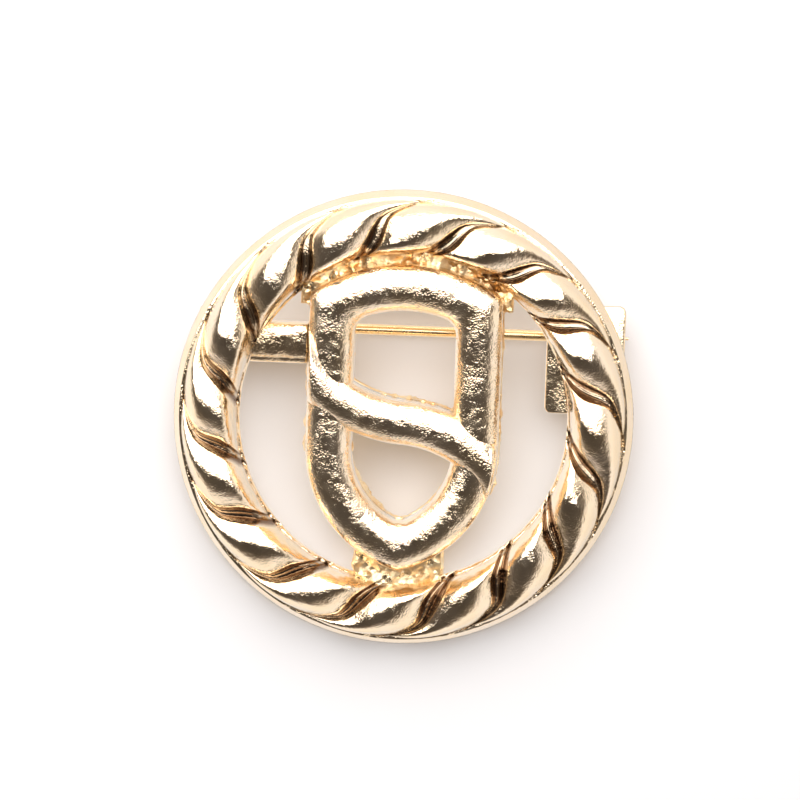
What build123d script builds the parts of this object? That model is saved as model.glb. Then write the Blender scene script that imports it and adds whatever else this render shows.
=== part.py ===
"""Open-work badge with a pin back: a twisted-rope ring round a shield crossed by a wavy band.

Row frame, in millimetres: +Z is up as the badge is worn, the face looks along -Y, and the origin is
the ring's centre on its flat back, the plane that lies against the cloth. Behind that plane, at y
above 0, is the pin back: a riveted hinge at one end of the pin and a turning safety catch at the other.
"""

import os
from math import cos, hypot, radians, sin, sqrt

from build123d import *

# --- Driving dimensions -------------------------------------------------------------------------
# Heights are measured from the ring's flat back towards the viewer.
RING_R = 17.0  # outside radius of the badge
RING_BORE_R = 12.1  # inside radius, at the back
ROPE_R = 14.7  # radius of the rope's crest line
ROPE_HALF_WIDTH = 1.75
ROPE_BASE_H = 1.4  # where the rope's domed top springs from the plain side walls
ROPE_CREST_H = 3.6
BORE_H = 0.45  # the inner wall stands square to here, then slopes out to the rope
LEVEL_H = 1.2  # the lower level inside the ring: the top of the backing plate, under the shield
BACK_CHAMFER = 0.2

STRANDS = 16
STRAND_LEAN = 13.0  # degrees that a groove advances from the outside to the inside of the ring
STRAND_PHASE = 9.3  # where the first groove crosses the crest line, in degrees from +X
GROOVE_DEPTH = 0.65
GROOVE_HALF_WIDTH = 0.62
GROOVE_RUNOUT = 0.5  # how far the groove's path stands off the rope at its two ends
GROOVE_END_ANGLE = 4.0  # where the path starts and stops on its ellipse, in degrees

SHIELD_HALF_WIDTH = 7.1
SHIELD_TOP_Z = 11.7
SHIELD_TOP_R = 12.0  # radius of the arched top edge
SHIELD_TIP_Z = -11.1
SHIELD_SPRING_Z = -2.0  # the straight sides turn into the two bottom arcs here
SHIELD_CORNER_R = 0.7
SHIELD_STRAP = 3.4  # width of the shield's frame
SHIELD_INNER_CORNER_R = 1.3
SHIELD_H = 3.7
BAND_HALF_WIDTH = 1.6
BAND_H = 4.0
BAND_R = 10.0  # radius of each half of the band's wave
BAND_HEADING = -4.0  # slope of the wave at its middle, in degrees
BAND_TURN = 62.0  # how far each half of the wave turns, in degrees
STRAP_ROUND = 1.0  # rounding of the straps' top edges

PLATE_RIM = 0.15  # how far the backing plate shows past the shield
PLATE_FOOT_HALF_WIDTH = 3.4  # half width of the web that joins the shield's tip to the ring
PLATE_FOOT_Z = -9.6
PLATE_SHOULDER_HALF_WIDTH = 7.9  # half width of the webs at the shield's upper corners
PLATE_SHOULDER_Z = 8.2

FINDING_T = 0.9  # thickness of the hinge bar and the catch tab behind the ring
BASE_T = 0.5  # thickness of the hinge's and the catch's own bases
PIN_Y = 2.45  # the pin's axis, behind the ring's back
PIN_Z = 6.1
PIN_R = 0.4
TAPER_X = 10.6  # the wire is round to here, then tapers to its point
TIP_X = 16.4
TIP_R = 0.09

HINGE_X = -13.6
RIVET_R = 0.4
RIVET_HEAD_R = 0.68
RIVET_HEAD_T = 0.3
EYE_R = 0.95
EYE_BORE_R = 0.45
EYE_LENGTH = 1.4
EAR_GAP = 0.05  # side play between the pin's eye and each ear
EAR_T = 0.45
EAR_R = 0.9
STOP_X = (-1.5, -1.1)  # the bracket's end wall, measured from the rivet
STOP_RISE = 0.9  # how far that wall stands behind the rivet's axis, where the open pin meets it

BAR_Z = (3.75, 6.8)  # lower and upper edge of the hinge bar
BAR_END_X = -4.3  # its inner end, behind the shield's frame
BAR_BOSS_H = 0.8  # raised part of the bar in the gap between ring and shield
BAR_ROUND = 0.5
PAD_X = (-15.3, -12.1)
PAD_Z = (4.4, 7.6)
TAB_X = (10.35, 16.15)
TAB_Z = (0.7, 8.7)
FINDING_CORNER_R = 0.5

CATCH_X = (11.4, 15.6)
CATCH_BASE_HALF_WIDTH = 1.75
CATCH_R = 1.45
CATCH_BORE_R = 1.05
CATCH_EAR_LENGTH = 1.1
CATCH_SLOT = 1.06
PEDESTAL_HALF_WIDTH = 1.2
ROLLER_R = 1.0
ROLLER_BORE_R = 0.58
ROLLER_SLOT = 1.0
LEVER_ANGLE = -70.0  # degrees from straight back, at rest, with the catch open
LEVER_REACH = 2.9
LEVER_ROOT = 0.8
LEVER_T = 0.5
LEVER_BEAD_R = 0.35  # rounded rim of the thumb lever
LEVER_SIDE_PLAY = 0.12

# --- Planes and helpers -------------------------------------------------------------------------
FACE = Plane.XZ  # x to the viewer's right, y up, and offsets towards the viewer
SECTION = Plane(origin=(0, 0, 0), x_dir=(1, 0, 0), z_dir=(0, 0, -1))  # x outwards, y to the viewer


def level(height):
    """The plane parallel to the badge's back at that height towards the viewer."""
    return FACE.offset(height)


def across_pin(x, turn=0):
    """The plane square to the pin at x, centred on it: x points straight back, turned upwards by turn."""
    x_dir = (0, cos(radians(turn)), sin(radians(turn)))
    return Plane(origin=(x, PIN_Y, PIN_Z), x_dir=x_dir, z_dir=(1, 0, 0))


def across_rivet(z):
    """The plane square to the rivet at height z, centred on it: x to the right and y straight back."""
    return Plane(origin=(HINGE_X, PIN_Y, z), x_dir=(1, 0, 0), z_dir=(0, 0, 1))


def rectangle(x_range, y_range, **options):
    """A rectangle between two pairs of edges, in the sketch's own plane."""
    with Locations(((x_range[0] + x_range[1]) / 2, (y_range[0] + y_range[1]) / 2)):
        Rectangle(x_range[1] - x_range[0], y_range[1] - y_range[0], **options)


# --- Rope ring ----------------------------------------------------------------------------------
# One groove between two strands. In plan it leans across the rope, and it follows the rope's dome.
half_lean = radians(STRAND_LEAN / 2)
rope_outer_r = ROPE_R + ROPE_HALF_WIDTH
rope_inner_r = ROPE_R - ROPE_HALF_WIDTH
rope_rise = ROPE_CREST_H - ROPE_BASE_H
groove_start = (rope_outer_r * cos(half_lean), -rope_outer_r * sin(half_lean))
groove_end = (rope_inner_r * cos(half_lean), rope_inner_r * sin(half_lean))
groove_run = (groove_start[0] - groove_end[0], groove_start[1] - groove_end[1])
lean_plane = Plane(
    origin=((groove_start[0] + groove_end[0]) / 2, 0, (groove_start[1] + groove_end[1]) / 2),
    x_dir=(groove_run[0], 0, groove_run[1]),
    z_dir=(groove_run[1], 0, -groove_run[0]),
)

with BuildPart() as groove:
    with BuildLine(lean_plane) as groove_path:
        EllipticalCenterArc(
            (0, ROPE_BASE_H),
            hypot(*groove_run) / 2 + GROOVE_RUNOUT,
            rope_rise,
            start_angle=GROOVE_END_ANGLE,
            arc_size=180 - 2 * GROOVE_END_ANGLE,
        )
    path_start = Plane(groove_path.line @ 0, x_dir=lean_plane.z_dir, z_dir=groove_path.line % 0)
    with BuildSketch(path_start):
        with BuildLine():
            Polyline(
                (-2 * GROOVE_HALF_WIDTH, GROOVE_DEPTH),
                (0, -GROOVE_DEPTH),
                (2 * GROOVE_HALF_WIDTH, GROOVE_DEPTH),
                close=True,
            )
        make_face()
    sweep(path=groove_path.wire())

with BuildPart() as ring_blank:
    with BuildSketch(SECTION):
        with BuildLine():
            Polyline(
                (rope_inner_r, ROPE_BASE_H),
                (RING_BORE_R, BORE_H),
                (RING_BORE_R, BACK_CHAMFER),
                (RING_BORE_R + BACK_CHAMFER, 0),
                (RING_R - BACK_CHAMFER, 0),
                (RING_R, BACK_CHAMFER),
                (rope_outer_r, ROPE_BASE_H),
            )
            EllipticalCenterArc(
                (ROPE_R, ROPE_BASE_H), ROPE_HALF_WIDTH, rope_rise, start_angle=0, arc_size=180
            )
        make_face()
    revolve(axis=Axis.Y)

with BuildPart() as rope_ring:
    add(ring_blank.part)
    for strand in range(STRANDS):
        turn = STRAND_PHASE + strand * 360 / STRANDS
        add(groove.part.rotate(Axis.Y, -turn), mode=Mode.SUBTRACT)
rope_ring.part.label = "rope_ring"

# --- Shield: its outline, the wavy band across it and the two openings that are left ------------
def corners(sketch, half_width):
    """The outline's two upper corners, where its sides stand half_width from the middle."""
    on_side = sketch.vertices().filter_by(lambda corner: abs(corner.X) > half_width - 0.01)
    return on_side.group_by(Axis.Y)[-1]


shoulder_z = SHIELD_TOP_Z - SHIELD_TOP_R + sqrt(SHIELD_TOP_R**2 - SHIELD_HALF_WIDTH**2)

with BuildSketch() as shield_outline:
    with BuildLine():
        top_edge = TangentArc((0, SHIELD_TOP_Z), (SHIELD_HALF_WIDTH, shoulder_z), tangent=(1, 0))
        side_edge = Line(top_edge @ 1, (SHIELD_HALF_WIDTH, SHIELD_SPRING_Z))
        TangentArc(side_edge @ 1, (0, SHIELD_TIP_Z), tangent=side_edge % 1)
        mirror(about=Plane.YZ)
    make_face()
    fillet(corners(shield_outline, SHIELD_HALF_WIDTH), SHIELD_CORNER_R)

with BuildSketch() as wavy_band:
    with BuildLine() as band_path:
        heading = (cos(radians(BAND_HEADING)), sin(radians(BAND_HEADING)))
        JernArc((0, 0), heading, BAND_R, -BAND_TURN)
        JernArc((0, 0), (-heading[0], -heading[1]), BAND_R, -BAND_TURN)
    trace(line_width=2 * BAND_HALF_WIDTH)

with BuildSketch() as shield_inside:
    add(shield_outline.sketch)
    offset(amount=-SHIELD_STRAP, kind=Kind.INTERSECTION, mode=Mode.REPLACE)
    fillet(corners(shield_inside, SHIELD_HALF_WIDTH - SHIELD_STRAP), SHIELD_INNER_CORNER_R)
    fillet(shield_inside.vertices().group_by(Axis.Y)[0], SHIELD_INNER_CORNER_R)

with BuildSketch() as counters:
    add(shield_inside.sketch)
    add(wavy_band.sketch, mode=Mode.SUBTRACT)

with BuildPart() as band_solid:
    with BuildSketch(level(LEVEL_H)):
        add(wavy_band.sketch)
    extrude(amount=BAND_H - LEVEL_H)
    band_rims = band_solid.faces().group_by(Axis.Y)[0].edges().filter_by(GeomType.CIRCLE)
    fillet(band_rims.filter_by(lambda rim: rim.length > BAND_HALF_WIDTH), STRAP_ROUND)
    with BuildSketch(level(LEVEL_H)):
        add(shield_outline.sketch)
    extrude(amount=BAND_H - LEVEL_H, mode=Mode.INTERSECT)

with BuildPart() as shield:
    with BuildSketch(level(LEVEL_H)):
        add(shield_outline.sketch)
        add(shield_inside.sketch, mode=Mode.SUBTRACT)
    extrude(amount=SHIELD_H - LEVEL_H)
    fillet(shield.faces().sort_by(Axis.Y)[0].edges(), STRAP_ROUND)
    add(band_solid.part)
    add(ring_blank.part, mode=Mode.SUBTRACT)
shield.part.label = "shield"

# --- Backing plate: the lower level behind the shield, which ties it to the ring ----------------
with BuildPart() as backing_plate:
    with BuildSketch(level(0)):
        add(shield_outline.sketch)
        offset(amount=PLATE_RIM, kind=Kind.INTERSECTION, mode=Mode.REPLACE)
        rectangle((-PLATE_FOOT_HALF_WIDTH, PLATE_FOOT_HALF_WIDTH), (-RING_R, PLATE_FOOT_Z))
        rectangle((-PLATE_SHOULDER_HALF_WIDTH, PLATE_SHOULDER_HALF_WIDTH), (PLATE_SHOULDER_Z, RING_R))
        Circle(ROPE_R, mode=Mode.INTERSECT)
        add(counters.sketch, mode=Mode.SUBTRACT)
    extrude(amount=LEVEL_H)
    add(ring_blank.part, mode=Mode.SUBTRACT)
backing_plate.part.label = "backing_plate"

# --- Hinge bar and catch tab, soldered to the ring's back ---------------------------------------
with BuildPart() as hinge_bar:
    with BuildSketch(level(-FINDING_T)):
        rectangle((PAD_X[0], BAR_END_X), BAR_Z)
        rectangle(PAD_X, PAD_Z)
    extrude(amount=FINDING_T)
    with BuildSketch(level(0)):
        rectangle((-ROPE_R, -SHIELD_HALF_WIDTH - PLATE_RIM), BAR_Z)
    extrude(amount=BAR_BOSS_H)
    boss_top = hinge_bar.faces().sort_by(Axis.Y)[0]
    fillet(boss_top.edges().filter_by(Axis.X), BAR_ROUND)
    add(ring_blank.part, mode=Mode.SUBTRACT)
hinge_bar.part.label = "hinge_bar"

with BuildPart() as catch_tab:
    with BuildSketch(level(-FINDING_T)):
        rectangle(TAB_X, TAB_Z)
        fillet(vertices(), FINDING_CORNER_R)
    extrude(amount=FINDING_T)
catch_tab.part.label = "catch_tab"

# --- Hinge --------------------------------------------------------------------------------------
ear_inner = EYE_LENGTH / 2 + EAR_GAP  # distance of each ear's inner face from the pin's axis
ear_outer = ear_inner + EAR_T
base_drop = PIN_Y - FINDING_T  # from the pin's axis forward to the face that the findings sit on

with BuildPart() as hinge_bracket:
    with BuildSketch(across_rivet(PIN_Z - ear_outer)):
        Circle(EAR_R)
        rectangle((STOP_X[0], EAR_R), (-base_drop, 0))
        rectangle(STOP_X, (0, STOP_RISE))
    extrude(amount=2 * ear_outer)
    with BuildSketch(across_rivet(PIN_Z - ear_inner)):
        rectangle((STOP_X[1], 2 * EAR_R), (BASE_T - base_drop, 2 * EAR_R))
    extrude(amount=2 * ear_inner, mode=Mode.SUBTRACT)
    with BuildSketch(across_rivet(PIN_Z - ear_outer)):
        Circle(RIVET_R)
    extrude(amount=2 * ear_outer, mode=Mode.SUBTRACT)
hinge_bracket.part.label = "hinge_bracket"

with BuildPart() as hinge_rivet:
    with BuildSketch(across_rivet(PIN_Z - ear_outer)):
        Circle(RIVET_R)
    extrude(amount=2 * ear_outer)
    for head_z in (PIN_Z - ear_outer - RIVET_HEAD_T, PIN_Z + ear_outer):
        with BuildSketch(across_rivet(head_z)):
            Circle(RIVET_HEAD_R)
        extrude(amount=RIVET_HEAD_T)
    head_rims = hinge_rivet.edges().filter_by(GeomType.CIRCLE).group_by(Axis.Z)
    chamfer([*head_rims[0], *head_rims[-1]], RIVET_HEAD_T / 2)
hinge_rivet.part.label = "hinge_rivet"

with BuildPart() as pin_stem:
    with BuildSketch(across_rivet(PIN_Z - EYE_LENGTH / 2)):
        Circle(EYE_R)
    extrude(amount=EYE_LENGTH)
    with BuildSketch(across_pin(HINGE_X)):
        Circle(PIN_R)
    extrude(amount=TAPER_X - HINGE_X)
    with BuildSketch(across_pin(TAPER_X)):
        Circle(PIN_R)
    with BuildSketch(across_pin(TIP_X)):
        Circle(TIP_R)
    loft()
    with BuildSketch(across_rivet(PIN_Z - EYE_LENGTH / 2)):
        Circle(EYE_BORE_R)
    extrude(amount=EYE_LENGTH, mode=Mode.SUBTRACT)
pin_stem.part.label = "pin_stem"

# --- Safety catch -------------------------------------------------------------------------------
with BuildPart() as catch_housing:
    with BuildSketch(level(-FINDING_T)):
        rectangle(CATCH_X, (PIN_Z - CATCH_BASE_HALF_WIDTH, PIN_Z + CATCH_BASE_HALF_WIDTH))
    extrude(amount=-BASE_T)
    for ear_x in (CATCH_X[0], CATCH_X[1] - CATCH_EAR_LENGTH):
        with BuildSketch(across_pin(ear_x)):
            Circle(CATCH_R)
            rectangle((BASE_T / 2 - base_drop, 0), (-PEDESTAL_HALF_WIDTH, PEDESTAL_HALF_WIDTH))
        extrude(amount=CATCH_EAR_LENGTH)
    with BuildSketch(across_pin(CATCH_X[0])):
        Circle(CATCH_BORE_R)
        rectangle((0, 2 * CATCH_R), (-CATCH_SLOT / 2, CATCH_SLOT / 2))
    extrude(amount=CATCH_X[1] - CATCH_X[0], mode=Mode.SUBTRACT)
catch_housing.part.label = "catch_housing"

lever_width = CATCH_X[1] - CATCH_X[0] - 2 * (CATCH_EAR_LENGTH + LEVER_SIDE_PLAY)
with BuildPart() as catch_roller:
    with BuildSketch(across_pin(CATCH_X[0])):
        Circle(ROLLER_R)
    extrude(amount=CATCH_X[1] - CATCH_X[0])
    with BuildSketch(across_pin(CATCH_X[0] + CATCH_EAR_LENGTH + LEVER_SIDE_PLAY, LEVER_ANGLE)):
        rectangle((LEVER_ROOT, LEVER_REACH), (-LEVER_T / 2, LEVER_T / 2))
        with Locations((LEVER_REACH, 0)):
            Circle(LEVER_BEAD_R)
    extrude(amount=lever_width)
    with BuildSketch(across_pin(CATCH_X[0])):
        Circle(ROLLER_BORE_R)
        rectangle((0, 2 * ROLLER_R), (-ROLLER_SLOT / 2, ROLLER_SLOT / 2))
    extrude(amount=CATCH_X[1] - CATCH_X[0], mode=Mode.SUBTRACT)
catch_roller.part.label = "catch_roller"

# --- Export -------------------------------------------------------------------------------------
os.makedirs("parts", exist_ok=True)
export_step(rope_ring.part, "parts/rope_ring.step")
export_step(shield.part, "parts/shield.step")
export_step(backing_plate.part, "parts/backing_plate.step")
export_step(hinge_bar.part, "parts/hinge_bar.step")
export_step(catch_tab.part, "parts/catch_tab.step")
export_step(hinge_bracket.part, "parts/hinge_bracket.step")
export_step(hinge_rivet.part, "parts/hinge_rivet.step")
export_step(pin_stem.part, "parts/pin_stem.step")
export_step(catch_housing.part, "parts/catch_housing.step")
export_step(catch_roller.part, "parts/catch_roller.step")
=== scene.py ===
"""Pin-back badge of pale polished gold: a cast rope ring round a shield, with its pin set behind.

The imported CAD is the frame. The ring and the shield are replaced by finely modelled castings. The web,
bar and tab behind them are lumpy copies of their CAD solids, and the small findings are copies with
rounded edges. Lengths are in millimetres until a mesh is made, and metres after that.
"""

import math

import bmesh
import bpy
import numpy as np
from mathutils import Matrix, Vector, noise


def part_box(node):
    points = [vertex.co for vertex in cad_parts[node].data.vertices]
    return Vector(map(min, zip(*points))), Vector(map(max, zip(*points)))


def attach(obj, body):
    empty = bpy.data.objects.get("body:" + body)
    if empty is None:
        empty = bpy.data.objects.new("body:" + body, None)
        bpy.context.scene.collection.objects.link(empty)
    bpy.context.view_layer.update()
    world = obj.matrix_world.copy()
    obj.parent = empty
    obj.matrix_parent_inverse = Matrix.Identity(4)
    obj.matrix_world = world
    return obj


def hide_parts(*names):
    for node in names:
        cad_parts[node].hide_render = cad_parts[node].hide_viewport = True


MM = 0.001

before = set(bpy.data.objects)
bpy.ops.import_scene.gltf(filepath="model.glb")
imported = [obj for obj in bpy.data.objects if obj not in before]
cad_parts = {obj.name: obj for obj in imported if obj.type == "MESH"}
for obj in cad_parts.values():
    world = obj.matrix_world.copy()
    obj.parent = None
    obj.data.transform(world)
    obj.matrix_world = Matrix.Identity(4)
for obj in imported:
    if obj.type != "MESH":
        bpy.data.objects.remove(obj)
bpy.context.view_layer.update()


def node_box(node):
    """A CAD node's lowest and highest corners, in millimetres."""
    lo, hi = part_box(node)
    return Vector(lo) / MM, Vector(hi) / MM


# --- Dimensions, from the frame where it holds them ---------------------------------------------
ring_lo, ring_hi = node_box("rope_ring")
shield_lo, shield_hi = node_box("shield")
bar_lo, bar_hi = node_box("hinge_bar")
catch_lo, catch_hi = node_box("catch_housing")

RING_R = ring_hi.x
RING_BORE_R = 12.1
ROPE_R = 14.7
ROPE_CREST_H = -ring_lo.y
ROPE_INNER = (12.3, 0.7)  # radius and height of the rope's inner edge
ROPE_OUTER = (16.4, 1.2)
ROPE_CREST = -0.45  # where the crest runs: -1 is the inner edge and 1 the outer edge
ROPE_FULLNESS = (2.2, 2.3)  # inside and outside of the crest: 2 is round, and more is squarer
RIM_FOOT_H = 0.22  # height of the outer wall's foot
BACK_EDGE = 0.06  # worn edges of the flat back
LEVEL_H = -node_box("backing_plate")[0].y  # the backing plate's top

STRANDS = 16
STRAND_PITCH = 360.0 / STRANDS
STRAND_LEAN = 17.0
STRAND_PHASE = 9.0
FULL_SHADE_DEPTH = 0.3  # grooves this deep and deeper get the darkest painted shade

SHIELD_HALF_WIDTH = shield_hi.x
SHIELD_TOP_Z = shield_hi.z
SHIELD_TOP_R = 12.0  # radius of the arched top edge
SHIELD_TIP_Z = shield_lo.z
SHIELD_SPRING_Z = -2.0
SHIELD_STRAP = 3.4
SHIELD_H = 3.7
SHIELD_WALL_H = LEVEL_H + 1.15  # where the straps' side walls end and their domes start
BAND_H = -shield_lo.y
BAND_WALL_H = LEVEL_H + 1.5
BAND_HALF_WIDTH = 1.6
BAND_END_R = 0.55  # how far from its ends the band starts to come down
BAND_R = 10.0
BAND_HEADING = math.radians(-4.0)
STRAP_FLATNESS = 2.1  # 2 is a round dome, and more has a flatter crown
BAR_WIDTH = 3.05  # the hinge bar's raised part
CASTING_VOXEL = 0.11  # size of the even faces of the unpolished castings
SINK = 0.06  # how far a casting's hidden underside reaches into what carries it


# --- Mesh helpers -------------------------------------------------------------------------------
def new_object(name, points_mm, faces, material):
    """A smooth-shaded mesh object from points in millimetres."""
    mesh = bpy.data.meshes.new(name)
    mesh.from_pydata((np.asarray(points_mm) * MM).tolist(), [], faces)
    mesh.update()
    piece = bpy.data.objects.new(name, mesh)
    bpy.context.scene.collection.objects.link(piece)
    mesh.materials.append(material)
    tidy = bmesh.new()
    tidy.from_mesh(mesh)
    bmesh.ops.recalc_face_normals(tidy, faces=tidy.faces)
    tidy.to_mesh(mesh)
    tidy.free()
    mesh.shade_smooth()
    return piece


def loop_faces(rows, columns, close_rows=True):
    """Quads over a grid of rows by columns, closed round its columns and, if asked, round its rows."""
    last = rows if close_rows else rows - 1
    faces = []
    for i in range(last):
        a, b = i * columns, (i + 1) % rows * columns
        for j in range(columns):
            k = (j + 1) % columns
            faces.append((a + j, a + k, b + k, b + j))
    return faces


def pebble(points, size, amount, seed):
    """Smooth random offsets, one for each point in millimetres: bumps about size across."""
    offset = Vector((seed, 2.0 * seed, 3.0 * seed))
    return np.array([amount * noise.noise(Vector(p) / size + offset) for p in points])


# --- Rope ring ----------------------------------------------------------------------------------
# Across the rope, places run from -1 at its inner edge to 1 at its outer edge. Turns are in degrees.
def vee(distance, half_width):
    """1 in the middle of a V-shaped notch and 0 past its edges."""
    return np.maximum(0.0, 1.0 - np.abs(distance) / half_width)


def strand_character(number, seed):
    """A small random amount for each strand, from -1 to 1, so that no two strands are alike."""
    return np.sin(12.9898 * np.mod(number, STRANDS) + 78.233 * seed)


def strand_place(across, turn):
    """Which strand a point is on, as a number whose whole values are the grooves between strands."""
    wobble = 0.7 * np.sin(np.radians(3 * turn + 40)) + 0.5 * np.sin(np.radians(5 * turn))
    lean = STRAND_LEAN / 2 * across * (1 - 0.45 * (1 - across**2))
    trail = 14.0 * np.maximum(0.0, across - 0.35) ** 2  # the strands' outer ends run along the rim
    return (turn - STRAND_PHASE - wobble + lean + trail) / STRAND_PITCH


def rope_rise(across, turn):
    """Height of the rope above the line between its edges."""
    strand = strand_place(across, turn)
    groove = np.round(strand)
    arch = (1 - 2 * np.abs(strand - groove)) ** 2
    outward = across - ROPE_CREST
    from_crest = np.where(outward > 0, outward / (1 - ROPE_CREST), outward / (1 + ROPE_CREST))
    fullness = np.where(outward > 0, ROPE_FULLNESS[1], ROPE_FULLNESS[0])
    dome = np.sqrt(np.maximum(0.0, 1.0 - np.abs(from_crest * (1 + 0.06 * arch)) ** fullness))
    depth = 0.54 + 0.05 * strand_character(groove, 1.0)
    height = 1 + 0.04 * strand_character(np.floor(strand), 2.0)
    return (ROPE_CREST_H - 1.0) * dome * (1 - depth * arch) * height


def groove_cut(across, turn):
    """Depth of the two notches side by side between strands, which leave a thin ridge between them."""
    strand = strand_place(across, turn)
    groove = np.round(strand)
    groove_mm = (strand - groove) * math.radians(STRAND_PITCH) * ROPE_R * 0.73
    taper = 1.0 - 0.6 * np.clip((across + 0.4) / 1.2, 0.0, 1.0)
    first = 0.52 * vee(groove_mm - 0.28 * taper, 0.36 * taper)
    second = 0.36 * vee(groove_mm + 0.26 * taper, 0.28 * taper)
    run_out = np.clip((1.12 - np.abs(across)) / 0.2, 0.0, 1.0)
    return (first + second) * taper * run_out * (1 + 0.25 * strand_character(groove, 3.0))


def ring_section():
    """The ring's section as radius, height and place: 0 off the rope's side of the ring, 1 on it."""
    (inner_r, inner_h), (outer_r, outer_h) = ROPE_INNER, ROPE_OUTER
    section = [(RING_BORE_R, 0.25, 0.0), (RING_BORE_R, 0.4, 0.0), (RING_BORE_R + 0.04, 0.52, 1.0)]
    section.append(((RING_BORE_R + inner_r) / 2, (0.52 + inner_h) / 2, 1.0))
    for sweep in np.linspace(0.0, math.pi, 81):
        share = (1 - math.cos(sweep)) / 2
        r = inner_r + (outer_r - inner_r) * share
        section.append((r, inner_h + (outer_h - inner_h) * share, 1.0))
    section.append((outer_r + 0.05, outer_h - 0.04, 1.0))
    lip_r, lip_h = outer_r + 0.13, outer_h - 0.02
    for share in np.linspace(0.0, 1.0, 9):
        r = lip_r + (RING_R - lip_r) * share
        section.append((r, lip_h + (RIM_FOOT_H - lip_h) * share, 1.0))
    section.append((RING_R - BACK_EDGE, BACK_EDGE, 0.0))
    section += [(r, 0.0, 0.0) for r in np.linspace(RING_R - 0.22, RING_BORE_R + 0.22, 9)]
    section.append((RING_BORE_R + BACK_EDGE, BACK_EDGE, 0.0))
    return np.array(section)


def build_rope_ring(material):
    """The ring: flat back, low inner wall, twisted rope and a plain drafted outer wall."""
    turns = np.linspace(0.0, 360.0, 2000, endpoint=False)[:, None]
    section = ring_section()
    radius, base, in_front = (section[:, k][None, :] for k in range(3))
    rope_middle = (ROPE_INNER[0] + ROPE_OUTER[0]) / 2
    across = (radius - rope_middle) / (ROPE_OUTER[0] - rope_middle)
    rope = np.where(np.abs(across) < 1.0, rope_rise(np.clip(across, -1.0, 1.0), turns), 0.0)
    height = base + in_front * (rope - groove_cut(across, turns))
    height = np.where(in_front > 0, np.clip(height, 0.2, ROPE_CREST_H), height)
    angle = np.radians(turns)

    def per_point(values):
        return np.broadcast_to(values, height.shape).reshape(-1)

    grid = (radius * np.cos(angle), -height, radius * np.sin(angle))
    points = np.column_stack([per_point(values) for values in grid])
    bumps = pebble(points, 0.55, 0.018, 1.0) + pebble(points, 1.9, 0.04, 4.0)
    near_bore = np.clip((RING_BORE_R + 1.0 - radius) / 0.5, 0.0, 1.0) * in_front
    bumps += pebble(points, 0.7, 0.09, 6.0) * per_point(near_bore)
    bumps *= per_point(np.clip((ROPE_OUTER[0] - 0.1 - radius) / 0.4, 0.25, 1.0))  # a smoother rim
    raised = per_point(in_front > 0)
    points[:, 1] += np.where(raised, np.maximum(bumps, -0.5 * bumps) + 0.01, 0.0)
    shift = np.where(raised, 0.5 * bumps, 0.0) / ROPE_R
    points[:, [0, 2]] *= (1.0 + shift - 0.0006)[:, None]
    ring = new_object("rope_ring_casting", points, loop_faces(len(turns), len(section)), material)
    # Painted shade: how deep each groove is, stored on the mesh, darkens the ring's colour there.
    painted_shade_mask = per_point(in_front * groove_cut(across, turns))
    depth = ring.data.attributes.new("painted_shade_mask", "FLOAT", "POINT")
    depth.data.foreach_set("value", np.clip(painted_shade_mask / FULL_SHADE_DEPTH, 0.0, 1.0).astype(np.float32))
    return ring


# --- Shield frame -------------------------------------------------------------------------------
bottom_run = SHIELD_SPRING_Z - SHIELD_TIP_Z
BOTTOM_R = (SHIELD_HALF_WIDTH**2 + bottom_run**2) / (2 * SHIELD_HALF_WIDTH)
BOTTOM_X = SHIELD_HALF_WIDTH - BOTTOM_R  # the right-hand bottom arc's centre


def arc(centre, radius, start, end, count):
    """Points on an arc between two angles in radians, without its last one."""
    angles = np.linspace(start, end, count, endpoint=False)
    return np.stack([centre[0] + radius * np.cos(angles), centre[1] + radius * np.sin(angles)], axis=-1)


def line(start, end, count):
    """Points on a straight line, without its last one."""
    return np.linspace(start, end, count, endpoint=False)


def shield_outline(inset, corner_r, tip_r):
    """The outline drawn in by inset, as points that keep their order from one inset to the next."""
    side_x, top_r = SHIELD_HALF_WIDTH - inset, SHIELD_TOP_R - inset
    top_centre_z = SHIELD_TOP_Z - SHIELD_TOP_R
    corner_x = side_x - corner_r
    corner_z = top_centre_z + math.sqrt((top_r - corner_r) ** 2 - corner_x**2)
    corner_angle = math.atan2(corner_z - top_centre_z, corner_x)
    bottom_r = BOTTOM_R - inset
    drop = math.sqrt((bottom_r - tip_r) ** 2 - BOTTOM_X**2)
    tip_angle = math.atan2(-drop, -BOTTOM_X)
    right = np.concatenate(
        [
            arc((0.0, top_centre_z), top_r, math.pi / 2, corner_angle, 60),
            arc((corner_x, corner_z), corner_r, corner_angle, 0.0, 30),
            line((side_x, corner_z), (side_x, SHIELD_SPRING_Z), 120),
            arc((BOTTOM_X, SHIELD_SPRING_Z), bottom_r, 0.0, tip_angle, 120),
            arc((0.0, SHIELD_SPRING_Z - drop), tip_r, tip_angle, -math.pi / 2, 16),
            [(0.0, SHIELD_SPRING_Z - drop - tip_r)],
        ]
    )
    left = right[1:-1][::-1] * (-1, 1)
    return np.concatenate([right, left])


def strap_height(share, top, wall):
    """Height of a domed strap, share of the way over it: steep walls, round shoulders, a soft crown."""
    dome = np.maximum(0.0, 1.0 - np.abs(2 * share - 1) ** STRAP_FLATNESS)
    return wall + (top - wall) * np.sqrt(dome)


def dimple(points, above, seed):
    """Press shallow random hollows into whatever stands higher than above."""
    bumps = pebble(points, 0.5, 0.028, seed) + pebble(points, 1.6, 0.05, seed + 2.0)
    points[:, 1] += np.where(points[:, 1] < -above, np.maximum(bumps, 0.0) + 0.01, 0.0)


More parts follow.
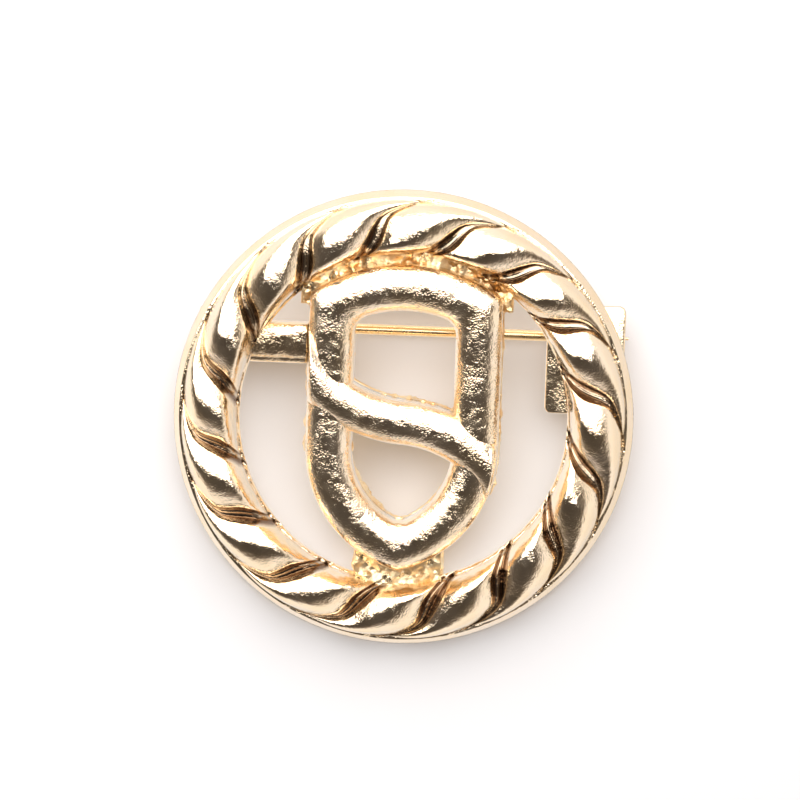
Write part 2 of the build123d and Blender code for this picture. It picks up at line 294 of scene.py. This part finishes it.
def build_shield_frame(material):
    """The shield's frame: one closed strap with a domed top and plain side walls."""
    shares = (1 - np.cos(np.linspace(0.0, math.pi, 41))) / 2
    foot = LEVEL_H - SINK
    rows = [(0.0, foot), (0.0, LEVEL_H + 0.35)]
    rows += [(s, None) for s in shares]
    rows += [(1.0, LEVEL_H + 0.35), (1.0, foot), (0.5, foot)]
    points = []
    for share, height in rows:
        inset = SHIELD_STRAP * share
        outline = shield_outline(inset, 0.75 + 0.6 * share, 0.35 + 0.9 * share)
        h = strap_height(share, SHIELD_H, SHIELD_WALL_H) if height is None else height
        points.append(np.column_stack([outline[:, 0], np.full(len(outline), -h), outline[:, 1]]))
    count, points = len(points[0]), np.concatenate(points)
    dimple(points, LEVEL_H + 0.5, 7.0)
    return new_object("shield_frame_casting", points, loop_faces(len(rows), count), material)


# --- Wavy band ----------------------------------------------------------------------------------
def band_point(along, offset):
    """A point of the band's plan, along its wave from its middle and offset to the left of it."""
    side = 1.0 if along >= 0 else -1.0
    normal = (-math.sin(BAND_HEADING), math.cos(BAND_HEADING))
    centre = (-side * BAND_R * normal[0], -side * BAND_R * normal[1])
    start = math.atan2(-centre[1], -centre[0])
    angle = start - along / BAND_R * side
    reach = BAND_R + side * offset
    return centre[0] + reach * math.cos(angle), centre[1] + reach * math.sin(angle)


def outside(x, z):
    """Whether a point at the height of the shield's sides or bottom is past its outline."""
    if z >= SHIELD_SPRING_Z:
        return abs(x) > SHIELD_HALF_WIDTH
    return math.hypot(abs(x) - BOTTOM_X, z - SHIELD_SPRING_Z) > BOTTOM_R


def band_end(side, offset):
    """How far along the wave, at that offset, the shield's outline is."""
    inner, outer = 0.0, side * BAND_R * 1.2
    for _ in range(40):
        middle = (inner + outer) / 2
        if outside(*band_point(middle, offset)):
            outer = middle
        else:
            inner = middle
    return inner


def build_wavy_band(material):
    """The band across the shield: a domed strap that stands over the frame and ends at its edges."""
    shares = (1 - np.cos(np.linspace(0.0, math.pi, 37))) / 2
    foot = LEVEL_H - SINK
    along_count = 190
    steps = (1 - np.cos(np.linspace(0.0, math.pi, along_count))) / 2 * 0.35
    steps += np.linspace(0.0, 1.0, along_count) * 0.65
    section = [(0.0, foot), (0.0, LEVEL_H + 0.6)]
    section += [(s, None) for s in shares]
    section += [(1.0, LEVEL_H + 0.6), (1.0, foot), (0.5, foot)]
    grid = []
    for share, height in section:
        offset = BAND_HALF_WIDTH * (1 - 2 * share)
        start, end = band_end(-1.0, offset), band_end(1.0, offset)
        line_points = []
        for step in steps:
            along = start + (end - start) * step
            x, z = band_point(along, offset)
            h = strap_height(share, BAND_H, BAND_WALL_H) if height is None else height
            to_end = min(along - start, end - along)
            fall = math.sqrt(max(0.0, 1.0 - max(0.0, 1.0 - to_end / BAND_END_R) ** 2))
            h = foot + (h - foot) * (0.62 + 0.38 * fall) if height is None else h
            line_points.append((x, -h, z))
        grid.append(line_points)
    points = np.array(grid).transpose(1, 0, 2).reshape(-1, 3)
    columns = len(section)
    dimple(points, LEVEL_H + 0.7, 11.0)
    faces = loop_faces(along_count, columns, close_rows=False)
    faces.append(tuple(range(columns)))
    faces.append(tuple(range((along_count - 1) * columns, along_count * columns)))
    return new_object("wavy_band_casting", points, faces, material)


# --- Copies of CAD solids -----------------------------------------------------------------------
def copy_of(node, name, material):
    """A new mesh object with a CAD node's shape, in millimetres, not yet in its final state."""
    source = bpy.data.objects[node]
    mesh = source.data.copy()
    mesh.name = name
    mesh.materials.clear()
    mesh.materials.append(material)
    mesh.transform(Matrix.Scale(1 / MM, 4) @ source.matrix_world)
    piece = bpy.data.objects.new(name, mesh)
    bpy.context.scene.collection.objects.link(piece)
    return piece


def rough_cast(node, body, name, material, roughness, shaping):
    """A copy of a CAD node as an unpolished casting: even small faces, soft edges and a lumpy front.

    shaping, if it isn't None, moves the points before the lumps are added.
    """
    piece = copy_of(node, name, material)
    remesh = piece.modifiers.new("even_faces", "REMESH")
    remesh.mode = "VOXEL"
    remesh.voxel_size = CASTING_VOXEL
    soften = piece.modifiers.new("soft_edges", "SMOOTH")
    soften.iterations = 3
    graph = bpy.context.evaluated_depsgraph_get()
    shaped = bpy.data.meshes.new_from_object(piece.evaluated_get(graph))
    piece.modifiers.clear()
    count = len(shaped.vertices)
    points = np.empty(3 * count)
    shaped.vertices.foreach_get("co", points)
    points = points.reshape(-1, 3)
    normals = np.array([vertex.normal for vertex in shaped.vertices])
    if shaping is not None:
        points = shaping(points)
    lumps = pebble(points, 0.75, roughness, 21.0) + pebble(points, 0.3, 0.35 * roughness, 23.0)
    lumps += pebble(points, 2.2, 1.2 * roughness, 27.0)
    in_front = np.clip((-points[:, 1] - 0.1) / 0.2, 0.0, 1.0)
    points += normals * ((lumps - 0.5 * roughness) * in_front)[:, None]
    shaped.vertices.foreach_set("co", (points * MM).reshape(-1))
    shaped.materials.clear()
    shaped.materials.append(material)
    shaped.name = name
    piece.data = shaped
    shaped.shade_smooth()
    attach(piece, body)
    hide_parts(node)
    return piece


def softened(node, body, name, material, radius):
    """A copy of a CAD node's solid with its edges rounded, which takes the node's place."""
    piece = copy_of(node, name, material)
    mesh = piece.data
    solid = bmesh.new()
    solid.from_mesh(mesh)
    bmesh.ops.remove_doubles(solid, verts=solid.verts, dist=1e-4)
    bmesh.ops.dissolve_limit(solid, angle_limit=math.radians(0.6), verts=solid.verts, edges=solid.edges)
    sharp = [e for e in solid.edges if len(e.link_faces) == 2 and e.calc_face_angle() > math.radians(38)]
    bmesh.ops.bevel(
        solid, geom=sharp, offset=radius, segments=3, profile=0.5, affect="EDGES", clamp_overlap=True
    )
    solid.to_mesh(mesh)
    solid.free()
    mesh.transform(Matrix.Scale(MM, 4))
    mesh.shade_smooth()
    mesh.set_sharp_from_angle(angle=math.radians(35))
    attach(piece, body)
    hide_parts(node)
    return piece


# --- Materials ----------------------------------------------------------------------------------
GRAIN_MM = 0.13  # the finest grain of the plating, which breaks reflections up into speckles


def metal(name, color, worn_color, roughness, pebble_mm, pebble_depth, fine_depth, painted_shade_color=None):
    """Plated metal with pebbled casting texture: roughness and colour vary, and so does the surface.

    With a shade colour given, the metal takes that colour, as painted shade, where the mesh's
    groove-shade attribute is 1.
    """
    material = bpy.data.materials.new(name)
    material.use_nodes = True
    nodes, links = material.node_tree.nodes, material.node_tree.links
    shader = nodes["Principled BSDF"]
    shader.inputs["Metallic"].default_value = 1.0
    place = nodes.new("ShaderNodeTexCoord")

    def cloud(size_mm, detail):
        texture = nodes.new("ShaderNodeTexNoise")
        texture.inputs["Scale"].default_value = 1 / (size_mm * MM)
        texture.inputs["Detail"].default_value = detail
        links.new(place.outputs["Object"], texture.inputs["Vector"])
        return texture.outputs["Fac"]

    def ramp(source, low, high, start=0.35, end=0.65):
        spread = nodes.new("ShaderNodeMapRange")
        spread.inputs["From Min"].default_value = start
        spread.inputs["From Max"].default_value = end
        spread.inputs["To Min"].default_value = low
        spread.inputs["To Max"].default_value = high
        links.new(source, spread.inputs["Value"])
        return spread.outputs["Result"]

    tint = nodes.new("ShaderNodeMix")
    tint.data_type = "RGBA"
    tint.inputs["A"].default_value = (*color, 1.0)
    tint.inputs["B"].default_value = (*worn_color, 1.0)
    links.new(ramp(cloud(2.6, 3.0), 0.0, 1.0), tint.inputs["Factor"])
    plating = tint.outputs["Result"]
    # Painted shade: the colour goes toward the shade colour where the grooves are deep.
    if painted_shade_color:
        painted_shade_mask = nodes.new("ShaderNodeAttribute")
        painted_shade_mask.attribute_name = "painted_shade_mask"
        painted_shade_mix = nodes.new("ShaderNodeMix")
        painted_shade_mix.data_type = "RGBA"
        links.new(painted_shade_mask.outputs["Fac"], painted_shade_mix.inputs["Factor"])
        links.new(plating, painted_shade_mix.inputs["A"])
        painted_shade_mix.inputs["B"].default_value = (*painted_shade_color, 1.0)
        plating = painted_shade_mix.outputs["Result"]
    links.new(plating, shader.inputs["Base Color"])
    links.new(ramp(cloud(0.9, 4.0), roughness * 0.7, roughness * 1.5), shader.inputs["Roughness"])
    coarse = nodes.new("ShaderNodeBump")
    coarse.inputs["Distance"].default_value = pebble_depth * MM
    links.new(cloud(pebble_mm, 2.0), coarse.inputs["Height"])
    fine = nodes.new("ShaderNodeBump")
    fine.inputs["Distance"].default_value = fine_depth * MM
    links.new(cloud(GRAIN_MM, 1.0), fine.inputs["Height"])
    links.new(ramp(cloud(1.4, 2.0), 0.25, 1.0, 0.4, 0.6), fine.inputs["Strength"])
    links.new(coarse.outputs["Normal"], fine.inputs["Normal"])
    links.new(fine.outputs["Normal"], shader.inputs["Normal"])
    return material


# Painted shade: dark brown painted into the rope's grooves, where shade falls.
GROOVE_PAINTED_SHADE = (0.2, 0.11, 0.055)
ring_gold = metal(
    "ring_gold", (0.97, 0.8, 0.6), (0.97, 0.77, 0.52), 0.13, 0.5, 0.032, 0.032, GROOVE_PAINTED_SHADE
)
shield_gold = metal("shield_gold", (0.97, 0.8, 0.6), (0.97, 0.77, 0.52), 0.16, 0.4, 0.045, 0.05)
web_gold = metal("web_gold", (0.98, 0.8, 0.52), (0.85, 0.55, 0.26), 0.34, 0.35, 0.1, 0.03)
bar_gold = metal("bar_gold", (0.97, 0.79, 0.56), (0.96, 0.74, 0.48), 0.16, 0.4, 0.04, 0.045)
finding_gold = metal("finding_gold", (0.95, 0.76, 0.52), (0.93, 0.7, 0.44), 0.2, 0.8, 0.01, 0.003)
wire_gold = metal("wire_gold", (0.93, 0.7, 0.4), (0.9, 0.62, 0.32), 0.22, 0.6, 0.006, 0.002)

for built, node in (
    (build_rope_ring(ring_gold), "rope_ring"),
    (build_shield_frame(shield_gold), "shield"),
):
    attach(built, "badge")
    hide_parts(node)
band = build_wavy_band(shield_gold)
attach(band, "badge")


def rounded_bar(points):
    """The hinge bar's raised part, crowned from its lower to its upper edge."""
    across = (points[:, 2] - (bar_lo.z + bar_hi.z) / 2) / (BAR_WIDTH / 2)
    reach = np.clip(np.abs(across), 0.0, 1.0)
    crown = 1.0 - 0.3 * reach**2 - 0.15 * reach**8
    depth = points[:, 1] * np.where(points[:, 1] < 0, crown, 1.0)
    return np.column_stack([points[:, 0], depth, points[:, 2]])


def curled_corner(points):
    """The catch tab's free upper corner, bent back a little and thinned from its front."""
    past_x, past_z = np.maximum(0.0, points[:, 0] - 14.2), np.maximum(0.0, points[:, 2] - 6.2)
    bend = 0.05 * past_x**2 + 0.04 * past_z**2
    front = np.clip((points[:, 1].max() - points[:, 1]) / 0.5, 0.0, 1.0)
    thinning = 0.1 * np.clip((points[:, 0] - 12.5) / 2.5, 0.0, 1.0)
    thinning *= np.maximum(0.0, points[:, 2] - 4.5)
    return points + np.outer(bend + front * thinning, (0.0, 1.0, 0.0))


for node, material, roughness, shaping in (
    ("backing_plate", web_gold, 0.3, None),
    ("hinge_bar", bar_gold, 0.04, rounded_bar),
    ("catch_tab", bar_gold, 0.02, curled_corner),
):
    rough_cast(node, "badge", node + "_casting", material, roughness, shaping)

for node, body, material, radius, slot in (
    ("hinge_bracket", "badge", finding_gold, 0.06, "finding_gold"),
    ("hinge_rivet", "badge", finding_gold, 0.05, "finding_gold"),
    ("catch_housing", "badge", finding_gold, 0.06, "finding_gold"),
    ("catch_roller", "catch", finding_gold, 0.05, "finding_gold"),
    ("pin_stem", "pin", wire_gold, 0.05, "pin_wire"),
):
    softened(node, body, node + "_finished", material, radius)

# --- Table --------------------------------------------------------------------------------------
# The badge lies on its catch and on the ring's bottom edge, so the table leans a little towards it.
rest_high = Vector((0.0, catch_hi.y, (catch_lo.z + catch_hi.z) / 2)) * MM
rest_low = Vector((0.0, 0.0, ring_lo.z)) * MM
table_up = (rest_high - rest_low).normalized()
table_normal = Vector((0.0, -table_up.z, table_up.y))
table_frame = Matrix((Vector((1, 0, 0)), table_up, table_normal)).transposed()

TABLE_SIZE = 3.0
table_mesh = bpy.data.meshes.new("table")
corners = [(-1, -1, 0), (1, -1, 0), (1, 1, 0), (-1, 1, 0)]
table_mesh.from_pydata([Vector(c) * TABLE_SIZE / 2 for c in corners], [], [(0, 1, 2, 3)])
table = bpy.data.objects.new("table", table_mesh)
bpy.context.scene.collection.objects.link(table)
table.matrix_world = Matrix.Translation(rest_low) @ table_frame.to_4x4()

table_material = bpy.data.materials.new("table_white")
table_material.use_nodes = True
nodes, links = table_material.node_tree.nodes, table_material.node_tree.links
paint = nodes["Principled BSDF"]
paint.inputs["Base Color"].default_value = (0.71, 0.69, 0.69, 1.0)
paint.inputs["Roughness"].default_value = 0.9
paint.inputs["Specular IOR Level"].default_value = 0.1
# A faint warm glow on the table: painted light that lifts its shadows.
paint.inputs["Emission Color"].default_value = (1.0, 0.95, 0.9, 1.0)
paint.inputs["Emission Strength"].default_value = 0.03
side = nodes.new("ShaderNodeNewGeometry")
clear = nodes.new("ShaderNodeBsdfTransparent")
one_sided = nodes.new("ShaderNodeMixShader")
links.new(side.outputs["Backfacing"], one_sided.inputs["Fac"])
links.new(paint.outputs["BSDF"], one_sided.inputs[1])
links.new(clear.outputs["BSDF"], one_sided.inputs[2])
links.new(one_sided.outputs["Shader"], nodes["Material Output"].inputs["Surface"])
table_mesh.materials.append(table_material)
table.visible_glossy = False
table.visible_shadow = False

# --- Light and surround -------------------------------------------------------------------------
# One big softbox, up and a little to the left of the badge as it lies.
LIGHT_FROM = (-0.17, 0.6, 0.79)  # in the table's frame
LIGHT_DISTANCE = 0.2
LIGHT_SIZE = (0.42, 0.33)
LIGHT_POWER = 1.55
lamp = bpy.data.lights.new("key_light", "AREA")
lamp.shape = "RECTANGLE"
lamp.size, lamp.size_y = LIGHT_SIZE
lamp.energy = LIGHT_POWER
light = bpy.data.objects.new("key_light", lamp)
bpy.context.scene.collection.objects.link(light)
away = (table_frame @ Vector(LIGHT_FROM)).normalized()
light.location = away * LIGHT_DISTANCE
light.rotation_euler = away.to_track_quat("Z", "Y").to_euler()
light.visible_camera = False

world = bpy.data.worlds.new("studio")
bpy.context.scene.world = world
world.use_nodes = True
nodes, links = world.node_tree.nodes, world.node_tree.links
surround = nodes["Background"]
look = nodes.new("ShaderNodeTexCoord")


def facing(direction, from_range, to_range):
    """How far the look goes in a direction of the table's frame, taken from one range to another."""
    along = nodes.new("ShaderNodeVectorMath")
    along.operation = "DOT_PRODUCT"
    along.inputs[1].default_value = table_frame @ Vector(direction)
    links.new(look.outputs["Generated"], along.inputs[0])
    mapped = nodes.new("ShaderNodeMapRange")
    mapped.inputs["From Min"].default_value, mapped.inputs["From Max"].default_value = from_range
    mapped.inputs["To Min"].default_value, mapped.inputs["To Max"].default_value = to_range
    links.new(along.outputs["Value"], mapped.inputs["Value"])
    return mapped.outputs["Result"]


# White all round and behind, and dark where the badge's face looks, which is towards DARK_SIDE.
DARK_SIDE = Vector((-0.33, 0.0, 1.0)).normalized()
sky = nodes.new("ShaderNodeValToRGB")
sky.color_ramp.interpolation = "EASE"
stops = (
    (0.0, 0.72),
    (0.06, 0.88),
    (0.2, 0.92),
    (0.35, 1.0),
    (0.5, 1.0),
    (0.58, 0.85),
    (0.65, 0.45),
    (0.7, 0.18),
    (0.82, 0.08),
    (1.0, 0.06),
)
while len(sky.color_ramp.elements) < len(stops):
    sky.color_ramp.elements.new(0.5)
for element, (position, level) in zip(sky.color_ramp.elements, stops):
    element.position = position
    element.color = (level, level * (0.86 + 0.12 * level), level * (0.76 + 0.22 * level), 1.0)
links.new(facing(DARK_SIDE, (-1.0, 1.0), (0.0, 1.0)), sky.inputs["Fac"])
links.new(sky.outputs["Color"], surround.inputs["Color"])
links.new(facing((-0.8, 0.6, 0.0), (-0.1, 0.6), (1.08, 1.2)), surround.inputs["Strength"])
backdrop = nodes.new("ShaderNodeBackground")
backdrop.inputs["Color"].default_value = (0.95, 0.95, 0.95, 1.0)
path = nodes.new("ShaderNodeLightPath")
choose = nodes.new("ShaderNodeMixShader")
links.new(path.outputs["Is Camera Ray"], choose.inputs["Fac"])
links.new(surround.outputs["Background"], choose.inputs[1])
links.new(backdrop.outputs["Background"], choose.inputs[2])
links.new(choose.outputs["Shader"], nodes["World Output"].inputs["Surface"])

# --- Camera -------------------------------------------------------------------------------------
CAMERA_DISTANCE = 0.45
VIEW_WIDTH = 0.0591  # what the picture takes in across the badge
camera_data = bpy.data.cameras.new("camera")
camera_data.sensor_width = 36.0
camera_data.lens = camera_data.sensor_width * CAMERA_DISTANCE / VIEW_WIDTH
camera = bpy.data.objects.new("camera", camera_data)
bpy.context.scene.collection.objects.link(camera)
CAMERA_TILT, CAMERA_ROLL = math.radians(1.5), math.radians(2.2)  # off square to the table
tilt, roll = Matrix.Rotation(CAMERA_TILT, 3, "Y"), Matrix.Rotation(CAMERA_ROLL, 3, "Z")
camera_turn = table_frame @ tilt @ roll
camera.rotation_euler = camera_turn.to_euler()
aim = Vector((-0.3, 0.0, 1.27)) * MM
camera.location = aim + camera_turn @ Vector((0.0, 0.0, CAMERA_DISTANCE))
bpy.context.scene.camera = camera
bpy.context.scene.view_settings.view_transform = "Standard"
